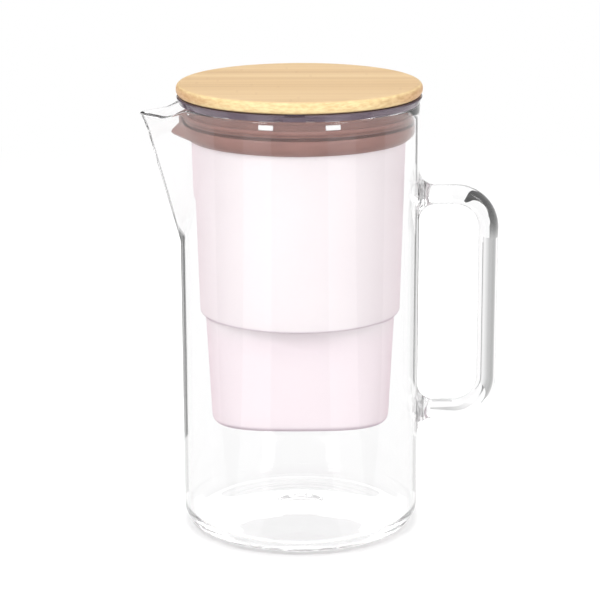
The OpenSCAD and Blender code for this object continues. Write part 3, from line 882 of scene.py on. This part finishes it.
def floor_strip(name, angles, reach, height, greys, strength=1.0):
    """A strip on the floor that runs out from the object between two directions, in degrees from the
    camera's towards +X."""
    left, right = (math.radians(a) for a in angles)
    near, far = reach
    corners = [(math.sin(a) * r, -math.cos(a) * r, height)
               for a, r in ((right, near), (left, near), (left, far), (right, far))]
    flag(name, corners, greys, "reflections", strength)


def lamp(name, centre, size, power, glossy=True):
    """An area lamp that faces the middle of the object."""
    light = bpy.data.lights.new(name, "AREA")
    light.shape = "RECTANGLE"
    light.size, light.size_y = size
    light.energy = power
    obj = bpy.data.objects.new(name, light)
    bpy.context.scene.collection.objects.link(obj)
    obj.visible_glossy = glossy
    turn = (LAMP_TARGET - Vector(centre)).to_track_quat("-Z", "Y")
    obj.matrix_world = Matrix.Translation(centre) @ turn.to_matrix().to_4x4()


def world():
    """White to the camera, in reflections and through glass, and dimmer as light on the object."""
    w = bpy.data.worlds.new("studio")
    bpy.context.scene.world = w
    w.use_nodes = True
    w.node_tree.nodes.clear()
    t = Tree(w.node_tree)
    path = t.add("LightPath").outputs
    through = t.math("MAXIMUM", path["Is Transmission Ray"], path["Is Glossy Ray"])
    seen = t.math("MAXIMUM", path["Is Camera Ray"], through)
    strength = t.math("MULTIPLY", t.range(seen, WORLD_LIGHT, 1.0), share_left(t, path))
    back = t.add("Background", {"Color": WHITE, "Strength": strength})
    t.add("OutputWorld", {"Surface": back.outputs[0]})


def foot_shade():
    """A dark band inside the heel that only keeps light from the floor, for a soft contact shadow."""
    low, high, radius = 0.5 * MM, 5 * MM, 57 * MM
    rows = turned_rows([(radius, low), (radius, high)], 96)
    band = new_object("foot_shade", [p for row in rows for p in row], grid_faces(2, 96), None,
                      moulded_material("foot_shade", linear(20, 20, 20), linear(24, 24, 24)))
    band.visible_camera = band.visible_glossy = band.visible_transmission = False


floor_and_backdrop()
foot_shade()
world()
lamp("key_left", (-0.75, -0.95, 0.75), (0.3, 0.6), 4.6)
lamp("key_right", (0.75, -0.95, 0.6), (0.3, 0.6), 3.1)
lamp("top", (0, 0.1, 1.2), (0.9, 0.9), 3.9)
lamp("back", (0, 1.0, 0.35), (1.2, 0.4), 3.6, glossy=False)

# Dark flags behind, which draw the thin dark lines in the glass wall and the bands in the handle
upright_flag("flag_left_wall", 0.04, (-0.088, -0.0672), (0.029, 0.151), (5, 6, 10, 20, 60))
outline_flag("flag_spout", 0.04, [(-84, 140), (-68.5, 140), (-86, 201), (-110, 201)],
             (70, 80, 110, 180), (-0.0925, 0, 0.1685), (-0.0783, 0, 0.1726))
slanted_flag("flag_right_wall", (97, 95, 38.5, 198.5), (167.5, 179, 10.5, 170.5), (180, 30, 10))
upright_flag("flag_handle", 0.025, (0.082, 0.105), (0.063, 0.143),
             (250, 196, 184, 184, 192, 226, 250, 215))
upright_flag("flag_bend_back", 0.025, (0.078, 0.112), (0.143, 0.180), (255, 255))
outline_flag("flag_bend", 0.012,
             [(74, 145.4), (95.9, 145.4), (95.9, 152), (94.6, 157), (91, 162.4), (88, 166),
              (86.5, 169.6), (84.5, 169.6), (84.5, 158), (76, 150)],
             (190, 150, 108, 84, 70, 66, 84), (0, 0, 0.1454), (0, 0, 0.1696))
outline_flag("flag_arm", 0.025,
             [(64, 51.2), (64, 50.6), (80, 49), (89, 49.4), (89, 56), (78, 53.6)],
             (120, 215, 205, 225, 250), (0.064, 0, 0), (0.089, 0, 0))
upright_flag("flag_handle_line", 0.025, (0.1044, 0.1058), (0.053, 0.140), (150, 120, 150))

# Paler flags low beside the foot, which carry those lines on down the wall
for name, near, far in (("flag_foot_left", -0.081, -0.0668), ("flag_foot_right", 0.0668, 0.081)):
    upright_flag(name, 0.03, (near, far), (0.001, 0.0325), (212, 212))

# What the glass reflects: a darker studio in front and above, with a bright softbox to each side
flag("front_studio", [(-1.4, -1.5, 0.0002), (1.4, -1.5, 0.0002), (1.4, -0.07, 0.0002),
                      (-1.4, -0.07, 0.0002)], (150, 150), "reflections")
flag("backdrop_top", [(-1.6, 1.1, 0.26), (1.6, 1.1, 0.26), (1.6, 1.1, 1.5), (-1.6, 1.1, 1.5)],
     (130, 130), "reflections")
floor_strip("softbox_left", (-53, -26), (0.08, 1.2), 0.0006, (255, 255), 1.1)
floor_strip("softbox_right", (26, 53), (0.08, 1.2), 0.0006, (255, 255), 1.1)

# Grey strips behind to each side, which darken the edges of the hopper and the glass by reflection
floor_strip("flag_back_left", (186, 216), (0.08, 1.1), 0.0008, (220, 90, 60))
floor_strip("flag_back_right", (144, 174), (0.08, 1.1), 0.0008, (60, 90, 220))


# ---------------------------------------------------------------------- camera

IMAGE = 600
FOCAL_PX = 2293.7
DISTANCE = 1.1662
ELEVATION = 14.786
ROLL = -0.194
LOOK_AT = Vector((0, 0, 0.11603))
SENSOR = 36.0


def camera():
    data = bpy.data.cameras.new("camera")
    data.sensor_width = SENSOR
    data.lens = FOCAL_PX * SENSOR / IMAGE
    obj = bpy.data.objects.new("camera", data)
    bpy.context.scene.collection.objects.link(obj)
    rise = math.radians(ELEVATION)
    place = LOOK_AT + DISTANCE * Vector((0, -math.cos(rise), math.sin(rise)))
    look = (LOOK_AT - place).to_track_quat("-Z", "Y").to_matrix().to_4x4()
    obj.matrix_world = (Matrix.Translation(place) @ look
                        @ Matrix.Rotation(math.radians(ROLL), 4, "Z"))
    bpy.context.scene.camera = obj


camera()
bpy.context.scene.view_settings.view_transform = "Standard"
# Light runs many times round inside the glass of the base before it leaves
cycles = bpy.context.scene.cycles
cycles.max_bounces = cycles.transmission_bounces = cycles.glossy_bounces = 128
